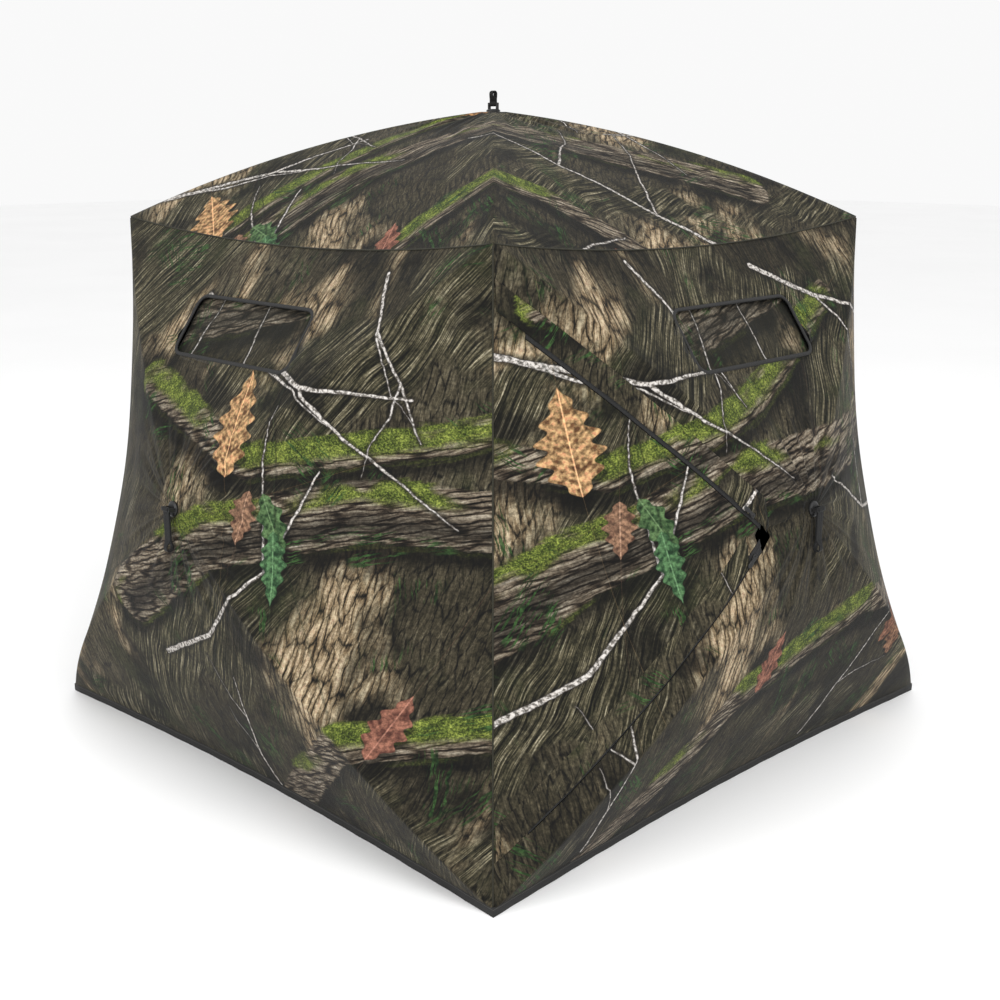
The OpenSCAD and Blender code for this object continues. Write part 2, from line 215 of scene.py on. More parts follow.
def print_xy(p, q):
    """Where points of panel p lie on its printed cloth. On the roof the print runs aslant."""
    if p == ROOF:
        slant = 0.37
        return np.stack([q[..., 0] + slant * q[..., 1], q[..., 1] - slant * q[..., 0] + 0.25], -1)
    local = turned(q, -p) - WALL_HUB
    return np.stack([local[..., 0], local @ WALL_UP], -1)


# ---- meshes ----

def new_object(name, points, faces, materials, uvs):
    """A smooth mesh object with one place on the print or the tape for each point."""
    mesh = bpy.data.meshes.new(name)
    mesh.from_pydata([tuple(q) for q in points], [], [tuple(f) for f in faces])
    mesh.validate()
    layer = mesh.uv_layers.new(name="print")
    index = np.empty(len(mesh.loops), np.int32)
    mesh.loops.foreach_get("vertex_index", index)
    layer.data.foreach_set("uv", np.asarray(uvs, np.float32)[index].ravel())
    mesh.polygons.foreach_set("use_smooth", [True] * len(mesh.polygons))
    return linked(name, mesh, materials)


def linked(name, mesh, materials):
    """An object of this mesh, in the scene."""
    obj = bpy.data.objects.new(name, mesh)
    bpy.context.scene.collection.objects.link(obj)
    for m in materials:
        mesh.materials.append(m)
    return obj


def run_along(line):
    """Length of a line from its start to each of its points."""
    return np.concatenate([[0], np.cumsum(np.linalg.norm(np.diff(line, axis=0), axis=1))])


def tape_uv(run, across):
    """A place on a tape for each point of a grid: along it and across it."""
    return np.stack(np.broadcast_arrays(run[:, None], np.asarray(across)[None, :]), -1)


def ring_faces(n, m, closed=True):
    """Faces between n rings of m points. With closed, the last ring joins the first."""
    return [[i * m + j, i * m + (j + 1) % m, (i + 1) % n * m + (j + 1) % m, (i + 1) % n * m + j]
            for i in range(n if closed else n - 1) for j in range(m)]


class Patchwork:
    """Grids of points joined where they meet, each point with its u and its place on the print."""

    def __init__(self):
        self.points, self.weights, self.uvs, self.faces = [], [], [], []
        self.known = {}

    def add(self, q, u, uv):
        key = tuple(np.round(q, 5))
        if key not in self.known:
            self.known[key] = len(self.points)
            self.points.append(q)
            self.weights.append(u)
            self.uvs.append(uv)
        return self.known[key]

    def grid(self, q, u, uv):
        rows, cols = q.shape[:2]
        ids = [[self.add(q[i, j], u[i, j], uv[i, j]) for j in range(cols)] for i in range(rows)]
        for i in range(rows - 1):
            for j in range(cols - 1):
                face = [ids[i][j], ids[i][j + 1], ids[i + 1][j + 1], ids[i + 1][j]]
                if len(set(face)) == 4:
                    self.faces.append(face)

    def build(self, name, materials, out):
        """(object, u of each of its points), without unused points and with its faces turned towards out."""
        used = sorted({i for f in self.faces for i in f})
        place = {i: k for k, i in enumerate(used)}
        q = np.array([self.points[i] for i in used])
        faces = np.array([[place[i] for i in f] for f in self.faces])
        a, b = q[faces[:, 2]] - q[faces[:, 0]], q[faces[:, 3]] - q[faces[:, 1]]
        if (np.cross(a, b) @ out).sum() < 0:
            faces = faces[:, ::-1]
        obj = new_object(name, q, faces, materials, [self.uvs[i] for i in used])
        return obj, np.array([self.weights[i] for i in used])


def cloth_grid(work, p, edge, s, u, lift=0.0):
    q = cloth_point(p, edge, s, u, lift)
    work.grid(q, np.broadcast_to(u, q.shape[:2]), print_xy(p, q))


def zip_s(side, u, inward=0.0):
    """Share along the seam of a zipper line: side 1 is the upper zipper and -1 the lower one."""
    u = np.minimum(u, GAP_TIP)
    return 1 - (ZIP_UPPER + inward) / (1 - u) if side > 0 else (ZIP_LOWER + inward) / (1 - u)


def rows_of_u(extra=()):
    """Rows from the edge to the hub, closer together at both ends."""
    base = np.concatenate([[0, 0.004, 0.012], np.linspace(0.025, 0.9, 62), np.linspace(0.915, 1, 8)])
    return np.unique(np.round(np.concatenate([base, extra]), 6))


def bends_with_hub(obj, p, u):
    """Bakes the cloth's transform into its mesh. Its weights, 0 at its edges and 1 at the hub and in between
    as the rigid poles do, are worked out but not kept, so the cloth does not follow its hub.
    """
    tuple(hub_at(p))
    tuple(hub_at(p) + out_of(p))
    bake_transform(obj)
    u - POLE_LAG * arch(u ** 2.2)


def window_axes():
    """Middle of wall 0's window, and the directions along it, up it and out of it."""
    middle, upper, lower = (on_cloth(0, 0, 0.5, WINDOW_AT + du) for du in (0, -0.1, 0.1))
    up = unit(upper - lower)
    right = np.array([1.0, 0, 0])
    return middle, right, up, np.cross(right, up)


def window_ring(half_w, half_h, radius, steps):
    """A rounded rectangle, anticlockwise, in the window's own plane."""
    ring = []
    for k, (cx, cy) in enumerate([(1, 1), (-1, 1), (-1, -1), (1, -1)]):
        for j in range(steps):
            a = math.radians(90 * k + 90 * j / (steps - 1))
            ring.append((cx * (half_w - radius) + radius * math.cos(a),
                         cy * (half_h - radius) + radius * math.sin(a)))
    return np.array(ring)


def cut_window(work, p):
    """Removes the faces over the window, and moves the rim of the gap onto its outline."""
    middle, right, up, out = window_axes()
    pts = turned(np.array(work.points), -p) - middle
    x, y, z = pts @ right, pts @ up, pts @ out
    half = np.array([WINDOW_W / 2 + BINDING, WINDOW_H / 2 + BINDING])
    near_plane, flatten = 0.06, 0.35
    inside = (abs(x) < half[0]) & (abs(y) < half[1]) & (abs(z) < near_plane)
    gone = [f for f in work.faces if sum(inside[i] for i in f) >= 2]
    kept = [f for f in work.faces if sum(inside[i] for i in f) < 2]
    rim = sorted({i for f in gone for i in f} & {i for f in kept for i in f})
    ring = window_ring(half[0], half[1], WINDOW_ROUND, 40)
    for i in rim:
        near = ring[np.argmin(np.hypot(ring[:, 0] - x[i], ring[:, 1] - y[i]))]
        local = middle + near[0] * right + near[1] * up + z[i] * flatten * out
        work.points[i] = turned(local, p)
        work.uvs[i] = print_xy(p, work.points[i])
    work.faces = kept


def panel_cloth(p):
    """The cloth of a panel, with its window's gap, and the door's gap in the door wall."""
    work = Patchwork()
    rows = rows_of_u([DOOR_FROM, GAP_TIP] if p == DOOR_WALL else [])
    s = np.linspace(0, 1, FACET_COLS)[None, :]
    for edge in range(4):
        if p == DOOR_WALL and edge == DOOR_EDGE:
            door_side(work, rows)
        else:
            cloth_grid(work, p, edge, s, rows[:, None])
    centre = hub_at(p) if p == ROOF else turned(hub_at(p), p)
    for edge in range(4):
        rim = cloth_point(p, edge, s, np.ones((1, 1)))
        q = np.concatenate([centre + (rim - centre) * k for k in (1, 0.7, BOLT_HOLE / FLAT_R)])
        work.grid(q, np.ones(q.shape[:2]), print_xy(p, q))
    if p != ROOF:
        cut_window(work, p)
    name = "roof_cloth" if p == ROOF else f"wall_{PANELS[p]}_cloth"
    return work.build(name, [CAMO[p], LINING], outward_of(p))


def door_side(work, rows):
    """The door wall's side facet: bands below and above the door's gap, and the cloth at its two ends."""
    below_gap, in_gap, above_gap = 11, 45, 13
    for k, cols in enumerate((below_gap, in_gap, above_gap)):
        for part in ([rows[rows <= DOOR_FROM], rows[rows >= GAP_TIP]] if cols == in_gap else [rows]):
            u = part[:, None]
            lines = [0 * u, zip_s(-1, u, -TAPE_SHARE), zip_s(1, u, -TAPE_SHARE), 0 * u + 1]
            t = np.linspace(0, 1, cols)[None, :]
            cloth_grid(work, DOOR_WALL, DOOR_EDGE, lines[k] * (1 - t) + lines[k + 1] * t, u)


# ---- materials: small helpers that write shader nodes ----

class Graph:
    """Makes nodes in a tree. Scalars come back as Value, so that formulas read as Python."""

    def __init__(self, tree):
        self.tree = tree

    def node(self, kind, settings=(), **inputs):
        n = self.tree.nodes.new(kind)
        for key, value in settings:
            setattr(n, key, value)
        for key, value in inputs.items():
            self.feed(n.inputs[key if key in n.inputs else int(key[1:])], value)
        return n

    def feed(self, socket, value):
        if isinstance(value, Value):
            value = value.socket
        if isinstance(value, bpy.types.NodeSocket):
            self.tree.links.new(value, socket)
        elif value is not None:
            socket.default_value = value

    def math(self, operation, *args, clamp=False):
        n = self.tree.nodes.new("ShaderNodeMath")
        n.operation, n.use_clamp = operation, clamp
        for socket, value in zip(n.inputs, args):
            self.feed(socket, value)
        return Value(self, n.outputs[0])

    def vector(self, operation, *args, out=0, scale=None):
        n = self.tree.nodes.new("ShaderNodeVectorMath")
        n.operation = operation
        for socket, value in zip(n.inputs, args):
            self.feed(socket, value)
        if scale is not None:
            self.feed(n.inputs["Scale"], scale)
        return n.outputs[out]

    def dot(self, a, b):
        return Value(self, self.vector("DOT_PRODUCT", a, b, out="Value"))

    def combine(self, x, y, z=0.0):
        return self.node("ShaderNodeCombineXYZ", X=x, Y=y, Z=z).outputs[0]

    def after(self, colour, *vectors):
        """The same vectors, worked out after this colour, so that the renderer's small stack is enough."""
        nothing = (1e-9, 1e-9, 1e-9)
        return [self.vector("MULTIPLY_ADD", colour, nothing, v) for v in vectors]

    def stretched(self, p, angle, along, across, offset=0.0):
        """p turned by an angle in degrees and scaled: along the grain and across it."""
        a = math.radians(angle)
        x = self.dot(p, (math.cos(a), math.sin(a), 0)) * along + offset
        y = self.dot(p, (-math.sin(a), math.cos(a), 0)) * across + offset
        return self.combine(x, y)

    def noise(self, p, scale=1.0, detail=3.0, rough=0.55):
        n = self.node("ShaderNodeTexNoise", [("noise_dimensions", "2D")], Vector=p, Scale=scale,
                      Detail=detail, Roughness=rough)
        return Value(self, n.outputs[0])

    def noise_3d(self, p, scale, detail, rough=0.5):
        n = self.node("ShaderNodeTexNoise", Vector=p, Scale=scale, Detail=detail, Roughness=rough)
        return n.outputs[0]

    def cells(self, p):
        """Distance from the edges of random cells."""
        settings = [("voronoi_dimensions", "2D"), ("feature", "DISTANCE_TO_EDGE")]
        n = self.node("ShaderNodeTexVoronoi", settings, Vector=p, Scale=1.0, Randomness=1.0)
        return Value(self, n.outputs["Distance"])

    def step(self, x, low, high):
        """0 below low, 1 above high, and smooth between them. low above high turns it round."""
        n = self.node("ShaderNodeMapRange", [("interpolation_type", "SMOOTHSTEP")], Value=x)
        for key, value in zip(("From Min", "From Max"), (low, high)):
            self.feed(n.inputs[key], value)
        return Value(self, n.outputs[0])

    def ramp(self, x, *stops):
        n = self.node("ShaderNodeValToRGB", Fac=x)
        band = n.color_ramp.elements
        band.remove(band[1])
        band[0].position, band[0].color = stops[0][0], (*stops[0][1], 1)
        for at, colour in stops[1:]:
            band.new(at).color = (*colour, 1)
        return n.outputs[0]

    def mix(self, share, a, b, kind="MIX"):
        n = self.tree.nodes.new("ShaderNodeMix")
        n.data_type, n.blend_type = "RGBA", kind
        self.feed(n.inputs["Factor"], share)
        for socket, value in zip([i for i in n.inputs if i.type == "RGBA"], (a, b)):
            self.feed(socket, (*value, 1) if isinstance(value, tuple) and len(value) == 3 else value)
        return next(o for o in n.outputs if o.type == "RGBA")


class Value:
    """A scalar output of a node, with arithmetic."""

    def __init__(self, graph, socket):
        self.graph, self.socket = graph, socket

    def __add__(self, other):
        return self.graph.math("ADD", self, other)

    def __sub__(self, other):
        return self.graph.math("SUBTRACT", self, other)

    def __mul__(self, other):
        return self.graph.math("MULTIPLY", self, other)

    __radd__ = __add__
    __rmul__ = __mul__

    def low(self, other):
        return self.graph.math("MINIMUM", self, other)

    def high(self, other):
        return self.graph.math("MAXIMUM", self, other)


def rgb(r, g, b):
    """A colour given in 0 to 255, as linear light."""
    return tuple((c / 255 / 12.92) if c <= 10 else ((c / 255 + 0.055) / 1.055) ** 2.4 for c in (r, g, b))


def capsule(g, p, a, b, ra, rb):
    """Distance outside a stroke from a to b, whose half width goes from ra to rb."""
    d = (b[0] - a[0], b[1] - a[1])
    square = d[0] ** 2 + d[1] ** 2
    from_a = g.vector("SUBTRACT", p, (a[0], a[1], 0))
    h = g.math("ADD", g.dot(from_a, (d[0] / square, d[1] / square, 0)), 0, clamp=True)
    off = g.vector("SUBTRACT", from_a, g.vector("SCALE", (d[0], d[1], 0), scale=h))
    return Value(g, g.vector("LENGTH", off, out="Value")) - g.math("MULTIPLY_ADD", h, rb - ra, ra)


def strokes(g, p, lines):
    """Distance outside the nearest of several tapered polylines: (points, first and last half width)."""
    nearest, count, batch = None, 0, 10
    for points, first, last in lines:
        n = len(points) - 1
        for k in range(n):
            ra, rb = (first + (last - first) * j / n for j in (k, k + 1))
            d = capsule(g, p, points[k], points[k + 1], ra, rb)
            nearest = d if nearest is None else nearest.low(d)
            count += 1
            if count % batch == 0:
                p, = g.after(nearest, p)
    return nearest


def branching(rng, start, angle, length, width, depth, lines):
    """Adds a twig that wanders, and forks while depth lasts, to a list of tapered polylines."""
    points, at, pieces = [start], start, 3
    for _ in range(pieces):
        angle += rng.uniform(-22, 22)
        step = length / pieces
        at = (at[0] + step * math.cos(math.radians(angle)), at[1] + step * math.sin(math.radians(angle)))
        points.append(at)
    lines.append((points, width, width * 0.45))
    if depth:
        for fork in points[1:-1]:
            if rng.random() < 0.75:
                side = rng.choice((-1, 1)) * rng.uniform(28, 58)
                shorter = length * rng.uniform(0.35, 0.6)
                branching(rng, fork, angle + side, shorter, width * 0.6, depth - 1, lines)


def leaf(g, p, at, angle, length, width, lobes):
    """(distance outside a lobed leaf, place along it, distance from its midrib)."""
    a = math.radians(angle)
    q = g.vector("SUBTRACT", p, (at[0], at[1], 0))
    along = g.dot(q, (math.cos(a) / length, math.sin(a) / length, 0))
    aside = g.math("ABSOLUTE", g.dot(q, (-math.sin(a), math.cos(a), 0)))
    t = g.math("ADD", along, 0, clamp=True)
    shape = g.math("SINE", g.math("POWER", t, 0.8) * math.pi)
    wave = g.math("SINE", t * (lobes * 2 * math.pi)) * 0.20 + 0.86
    edge = aside - shape * wave * (width / 2)
    return edge, along, aside


class Print:
    """The woodland print as it is built up: its colour so far, and the coordinates for its next layer.

    p is the place on the cloth and here the same place for the next layer. warped bends slowly, frayed gives
    ragged edges, and fray is that raggedness alone.
    """

    def __init__(self, g, p):
        self.g, self.p, self.here = g, p, p
        bend = self.shake((7, 3, 0), 2.6, 2)
        self.warped = g.vector("MULTIPLY_ADD", bend, (0.09, 0.09, 0), p)
        self.fray = self.shake((5, 9, 0), 22, 3)
        self.frayed = g.vector("MULTIPLY_ADD", self.fray, (0.014, 0.014, 0), p)
        self.colour = None

    def shake(self, apart, scale, detail):
        """Random offsets along both axes, from two noises that are some way apart."""
        g = self.g
        other = g.vector("ADD", self.p, apart)
        return g.combine(g.noise(self.p, scale, detail) - 0.5, g.noise(other, scale, detail) - 0.5)

    def lay(self, share, colour):
        """Covers a share of the print with a colour or another layer."""
        self.colour = self.g.mix(share, self.colour, colour)

    def next_layer(self):
        self.here, self.warped, self.frayed, self.fray = self.g.after(
            self.colour, self.p, self.warped, self.frayed, self.fray)


def lay_bark(w):
    """Trunks behind: plates between cracks that run up the cloth, some of them pale. Gives their relief."""
    g = w.g
    plates = g.cells(g.stretched(w.frayed, 84, 12, 58))
    grain = g.noise(g.stretched(w.warped, 84, 14, 150), 1.0, 7, 0.78)
    zone = g.noise(w.warped, 2.1, 5, 0.6)
    crack = g.step(plates + (grain - 0.5) * 0.34, -0.03, 0.12)
    tone = g.ramp(grain * 0.75 + zone * 0.45 - 0.1, (0.28, rgb(28, 25, 19)), (0.44, rgb(66, 61, 45)),
                  (0.56, rgb(98, 90, 70)), (0.70, rgb(141, 133, 110)), (0.86, rgb(186, 178, 155)))
    w.colour = g.mix(crack, rgb(16, 15, 11), tone)
    w.next_layer()
    pale = g.step(g.noise(g.stretched(w.warped, 80, 1.5, 3.4, 4.0), 1.0, 3), 0.55, 0.66)
    cream = g.ramp(grain + (plates - 0.2) * 0.5, (0.3, rgb(86, 66, 44)), (0.46, rgb(166, 142, 106)),
                   (0.66, rgb(226, 210, 176)))
    w.lay(pale * crack * 0.85, cream)
    return grain * 0.6 + crack * 0.4


def lay_grass(w):
    """Slanting dry grass and streaked wood between the trunks."""
    g = w.g
    w.next_layer()
    streak = g.noise(g.stretched(w.warped, 58, 6, 170, 2.0), 1.0, 6, 0.72)
    dry = g.ramp(streak, (0.36, rgb(22, 22, 15)), (0.48, rgb(66, 64, 45)), (0.58, rgb(122, 114, 88)),
                 (0.70, rgb(196, 188, 160)))
    gap = g.step(g.noise(g.stretched(w.warped, 35, 1.9, 3.1, 9.0), 1.0, 4), 0.48, 0.58)
    w.lay(gap, dry)


def lay_shade(w):
    """Damp green and dark hollows."""
    g = w.g
    w.next_layer()
    w.lay(g.step(g.noise(w.warped, 3.3, 4, 0.6), 0.56, 0.72) * 0.55, rgb(58, 66, 32))
    hollow = g.step(g.noise(g.vector("ADD", w.warped, (11, 2, 0)), 4.2, 5, 0.62), 0.52, 0.66)
    w.lay(hollow * 0.72, rgb(22, 21, 16))


# points from one end to the other, and the half width at both ends
LOGS = [([(-0.95, -0.24), (-0.60, -0.03), (-0.22, 0.10), (0.30, 0.12), (0.95, 0.26)], 0.080, 0.060),
        ([(-0.98, 0.30), (-0.52, 0.16), (-0.05, 0.28), (0.40, 0.50)], 0.040, 0.026),
        ([(-0.60, -0.75), (-0.18, -0.42), (0.30, -0.30), (0.95, -0.36)], 0.046, 0.034)]


def lay_log(w, k):
    """A log that lies across, lit from above, with moss along its top and a shadow below."""
    g, log = w.g, [LOGS[k]]
    w.next_layer()
    bark_run = g.noise(g.stretched(w.warped, 16, 9, 130, 5.0 + k), 1.0, 7, 0.76)
    bark_cells = g.cells(g.stretched(w.frayed, 16, 8, 62, 5.0 + k))
    rough_edge = (bark_run - 0.5) * 0.030
    d = strokes(g, w.frayed, log) + rough_edge
    below = strokes(g, g.vector("ADD", w.frayed, (0.012, 0.042, 0)), log) + rough_edge
    above = strokes(g, g.vector("ADD", w.frayed, (0.006, 0.030, 0)), log) + rough_edge
    w.lay(g.step(below, 0.02, -0.02) * 0.8, rgb(14, 13, 10))
    wood = g.ramp(bark_run * 0.9 + g.step(bark_cells, 0.0, 0.2) * 0.22 - 0.06,
                  (0.30, rgb(18, 15, 12)), (0.44, rgb(70, 58, 46)), (0.55, rgb(120, 106, 88)),
                  (0.68, rgb(176, 164, 144)), (0.82, rgb(224, 216, 200)))
    wood = g.mix(g.step(above, -0.018, -0.070) * 0.72, wood, rgb(16, 14, 11))
    w.lay(g.step(d, 0.002, -0.003), wood)
    w.next_layer()
    tuft = g.noise(w.here, 230, 3, 0.7)
    clumps = g.noise(g.stretched(w.warped, 16, 2.4, 5.0, 3.0 * k), 1.0, 3)
    on_top = g.step(above, -0.030, -0.004) * g.step(d, 0.014, 0.002) * g.step(clumps, 0.48, 0.56)
    moss = g.ramp(tuft * 0.8 + g.noise(w.here, 34, 2) * 0.35 - 0.05, (0.30, rgb(38, 48, 12)),
                  (0.48, rgb(92, 108, 30)), (0.62, rgb(142, 156, 52)), (0.78, rgb(186, 194, 84)))
    w.lay(on_top, moss)


def lay_needles(w):
    """Clumps of green needles at four angles."""
    g, spikes = w.g, None
    w.next_layer()
    for k, angle in enumerate((20, 55, 98, 140)):
        blades = g.noise(g.stretched(w.frayed, angle, 11, 190, 3.0 * k), 1.0, 2)
        clump = g.step(g.noise(g.stretched(w.warped, angle, 3.2, 4.6, 13.0 + 5 * k), 1.0, 2), 0.66, 0.72)
        one = g.step(blades, 0.53, 0.60) * clump
        spikes = one if spikes is None else spikes.high(one)
    w.lay(spikes * 0.9, g.ramp(g.noise(w.here, 40, 2), (0.35, rgb(24, 52, 20)), (0.6, rgb(70, 112, 52))))


# start, angle in degrees, length and half width
TWIGS = [((-0.92, 0.52), -18, 0.80, 0.0095), ((0.16, 0.58), -24, 0.62, 0.0085),
         ((-0.86, -0.38), 34, 0.80, 0.0078), ((0.88, -0.10), 198, 0.78, 0.0080),
         ((0.30, -0.70), 66, 0.46, 0.0060), ((-0.30, 0.62), -72, 0.40, 0.0060),
         ((-0.62, -0.70), 96, 0.34, 0.0055), ((0.84, 0.60), 226, 0.42, 0.0075)]


def lay_twigs(w):
    """Grey twigs that fork, each with a soft shadow round it."""
    g, lines = w.g, []
    rng = random.Random(11)
    for start, angle, length, width in TWIGS:
        branching(rng, start, angle, length, width, 1, lines)
    w.next_layer()
    d = strokes(g, g.vector("MULTIPLY_ADD", w.fray, (0.010, 0.010, 0), w.here), lines)
    twig = g.ramp(g.noise(w.here, 130, 3), (0.35, rgb(128, 122, 114)), (0.58, rgb(222, 218, 214)))
    twig = g.mix(g.step(d, -0.0030, 0.0), twig, rgb(66, 58, 50))
    w.lay(g.step(d, 0.011, 0.0) * 0.55, rgb(18, 17, 13))
    w.lay(g.step(d, 0.0008, -0.0008), twig)


# stem, angle in degrees, length, width, lobes, and the dark and light of its colour
LEAVES = [((-0.57, 0.12), 98, 0.25, 0.135, 6, (124, 84, 44), (220, 184, 124)),
          ((-0.46, 0.10), -62, 0.16, 0.070, 4, (46, 82, 44), (112, 146, 92)),
          ((-0.50, 0.10), -96, 0.13, 0.070, 5, (108, 76, 58), (176, 136, 104)),
          ((-0.42, 0.02), -82, 0.17, 0.066, 5, (44, 84, 52), (104, 150, 98)),
          ((0.46, -0.46), 52, 0.17, 0.085, 5, (104, 62, 44), (168, 116, 84)),
          ((0.55, -0.52), 104, 0.15, 0.075, 5, (108, 70, 48), (172, 128, 92)),
          ((-0.12, -0.44), 70, 0.16, 0.080, 5, (112, 66, 52), (176, 118, 92)),
          ((0.24, 0.42), 205, 0.15, 0.075, 5, (122, 84, 42), (198, 150, 84))]


def lay_leaf(w, at, angle, length, width, lobes, dark, light):
    """An oak leaf with its midrib, side veins and shadow."""
    g = w.g
    here, = g.after(w.colour, w.p)
    edge, along, aside = leaf(g, here, at, angle, length, width, lobes)
    veins = g.math("SINE", (along * length - aside * 0.8) * (2 * math.pi / 0.017))
    tint = g.ramp(g.noise(here, 46, 4) + veins * 0.05, (0.34, rgb(*dark)), (0.62, rgb(*light)))
    tint = g.mix(g.step(aside, 0.0022, 0.0008) * 0.7, tint, rgb(*(min(255, c + 30) for c in light)))
    cast = leaf(g, g.vector("ADD", here, (-0.006, 0.012, 0)), at, angle, length, width, lobes)[0]
    w.lay(g.step(cast, 0.006, -0.004) * 0.6, rgb(15, 14, 10))
    w.lay(g.step(edge, 0.0006, -0.0008), g.mix(g.step(edge, -0.004, 0.0) * 0.45, tint, rgb(*dark)))


def woodland():
    """The generic woodland print, a node group whose input is the place on the cloth in metres."""
    tree = bpy.data.node_groups.new("woodland", "ShaderNodeTree")
    tree.interface.new_socket("P", in_out="INPUT", socket_type="NodeSocketVector")
    for name, kind in (("Color", "NodeSocketColor"), ("Relief", "NodeSocketFloat")):
        tree.interface.new_socket(name, in_out="OUTPUT", socket_type=kind)
    g = Graph(tree)
    w = Print(g, tree.nodes.new("NodeGroupInput").outputs[0])
    relief = lay_bark(w)
    lay_grass(w)
    lay_shade(w)
    for k in range(len(LOGS)):
        lay_log(w, k)
    lay_needles(w)
    lay_twigs(w)
    for one in LEAVES:
        lay_leaf(w, *one)

    speckle = g.ramp(g.noise(w.p, 120, 4, 0.7), (0.36, rgb(70, 70, 70)), (0.64, rgb(190, 190, 190)))
    colour = g.mix(0.55, w.colour, speckle, "OVERLAY")
    muted = g.node("ShaderNodeHueSaturation", Saturation=0.84, Color=colour).outputs[0]
    group_out = tree.nodes.new("NodeGroupOutput")
    g.feed(group_out.inputs["Color"], g.node("ShaderNodeGamma", Color=muted, Gamma=PRINT_GAMMA).outputs[0])
    g.feed(group_out.inputs["Relief"], relief)


def material(name):
    """(new material, its node graph, its shader)"""
    m = bpy.data.materials.new(name)
    m.use_nodes = True
    tree = m.node_tree
    tree.nodes.clear()
    out = tree.nodes.new("ShaderNodeOutputMaterial")
    shader = tree.nodes.new("ShaderNodeBsdfPrincipled")
    tree.links.new(shader.outputs[0], out.inputs[0])
    return m, Graph(tree), shader


def in_object(g):
    return g.node("ShaderNodeTexCoord").outputs["Object"]


def surface(g, shader, colour, rough):
    g.feed(shader.inputs["Base Color"], colour)
    g.feed(shader.inputs["Roughness"], rough)


def bump(g, shader, height, distance, strength=0.8):
    n = g.node("ShaderNodeBump", Strength=strength, Distance=distance, Height=height)
    g.feed(shader.inputs["Normal"], n.outputs[0])


def ribs(g, run, pitch):
    """Threads side by side: 0 between them and 1 along their tops."""
    return g.math("ABSOLUTE", g.math("SINE", run * (math.pi / pitch)))


def woven(g, p, pitch):
    """Height of a plain weave with this thread pitch, over and under."""
    return ribs(g, g.dot(p, (1, 0, 0)), pitch) * 0.5 + ribs(g, g.dot(p, (0, 1, 0)), pitch) * 0.5


def camo_material(name, shift, turn=0, painted_shade=0.0, light=1.0):
    """Printed polyester: the woodland print over a fine weave, matte, with slightly uneven ink. A copy can be
    darkened with painted shade or brightened with painted light.
    """
    m, g, shader = material(name)
    uv = print_uv(g)
    a = math.radians(turn)
    p = g.combine(g.dot(uv, (math.cos(a), math.sin(a), 0)) + shift[0],
                  g.dot(uv, (-math.sin(a), math.cos(a), 0)) + shift[1])
    group = g.node("ShaderNodeGroup", [("node_tree", bpy.data.node_groups["woodland"])], P=p)
    threads = woven(g, uv, 0.0011)
    ink = g.noise(uv, 900, 2)
    colour = g.mix(threads * 0.16, group.outputs["Color"], rgb(12, 12, 9))
    colour = g.mix(ink * 0.18, colour, rgb(120, 116, 96), "OVERLAY")
    # painted shade: a share of dark olive grey mixed in; painted light: the colour multiplied by more than 1
    colour = g.mix(1.0, g.mix(painted_shade, colour, rgb(40, 40, 32)), (light, light, light), "MULTIPLY")
    surface(g, shader, colour, g.math("MULTIPLY_ADD", group.outputs["Relief"], 0.12, 0.70))
    shader.inputs["Specular IOR Level"].default_value = 0.16
    shader.inputs["Sheen Weight"].default_value = 0.03
    shader.inputs["Sheen Roughness"].default_value = 0.5
    soft = g.noise(uv, 26, 4, 0.6)
    bump(g, shader, threads * 0.25 + soft * 2.4 + ink * 0.15, 0.0006)
    return m


def cloth_material(name, base, light, pitch, ridges=0.0):
    """Plain dyed cloth: a weave with a little lint and wear."""
    m, g, shader = material(name)
    p = in_object(g)
    flat = g.combine(g.dot(p, (1, 0.31, 0)), g.dot(p, (0.17, 0.4, 1)))
    threads = woven(g, flat, pitch)
    lint = g.noise(flat, 420, 3)
    wear = g.noise(flat, 14, 4)
    tone = g.ramp(lint * 0.5 + wear * 0.3 + threads * 0.2, (0.3, rgb(*base)), (0.75, rgb(*light)))
    surface(g, shader, tone, wear * 0.15 + 0.72)
    shader.inputs["Sheen Weight"].default_value = 0.04
    shader.inputs["Specular IOR Level"].default_value = 0.25
    bump(g, shader, threads + lint * 0.6, 0.0004 + ridges)
    return m


def print_uv(g):
    return g.node("ShaderNodeUVMap", [("uv_map", "print")]).outputs[0]


def on_tape(g):
    """(place along a tape, place across it)"""
    parts = g.node("ShaderNodeSeparateXYZ", Vector=print_uv(g))
    return Value(g, parts.outputs[0]), Value(g, parts.outputs[1])


def stitched_material():
    """Black grosgrain tape: ribs across it, and a row of thread stitches near its upper edge."""
    m, g, shader = material("stitched_tape")
    run, across = on_tape(g)
    rib_pitch, row_at, stitch = 0.0012, 0.0190, 0.0022
    ridge_height = ribs(g, run, rib_pitch)
    in_row = g.step(g.math("ABSOLUTE", across - row_at), 0.0009, 0.0004)
    in_stitch = g.step(g.math("PINGPONG", run, stitch), 0.0005, 0.0009)
    thread = in_row * in_stitch
    lint = g.noise(in_object(g), 300, 3)
    base = g.ramp(lint * 0.7 + ridge_height * 0.2, (0.3, rgb(9, 9, 9)), (0.75, rgb(32, 31, 30)))
    surface(g, shader, g.mix(thread, base, rgb(70, 68, 62)), lint * 0.2 + 0.62)
    bump(g, shader, ridge_height * 0.5 + thread * 1.5 + lint * 0.3, 0.0005)
    return m


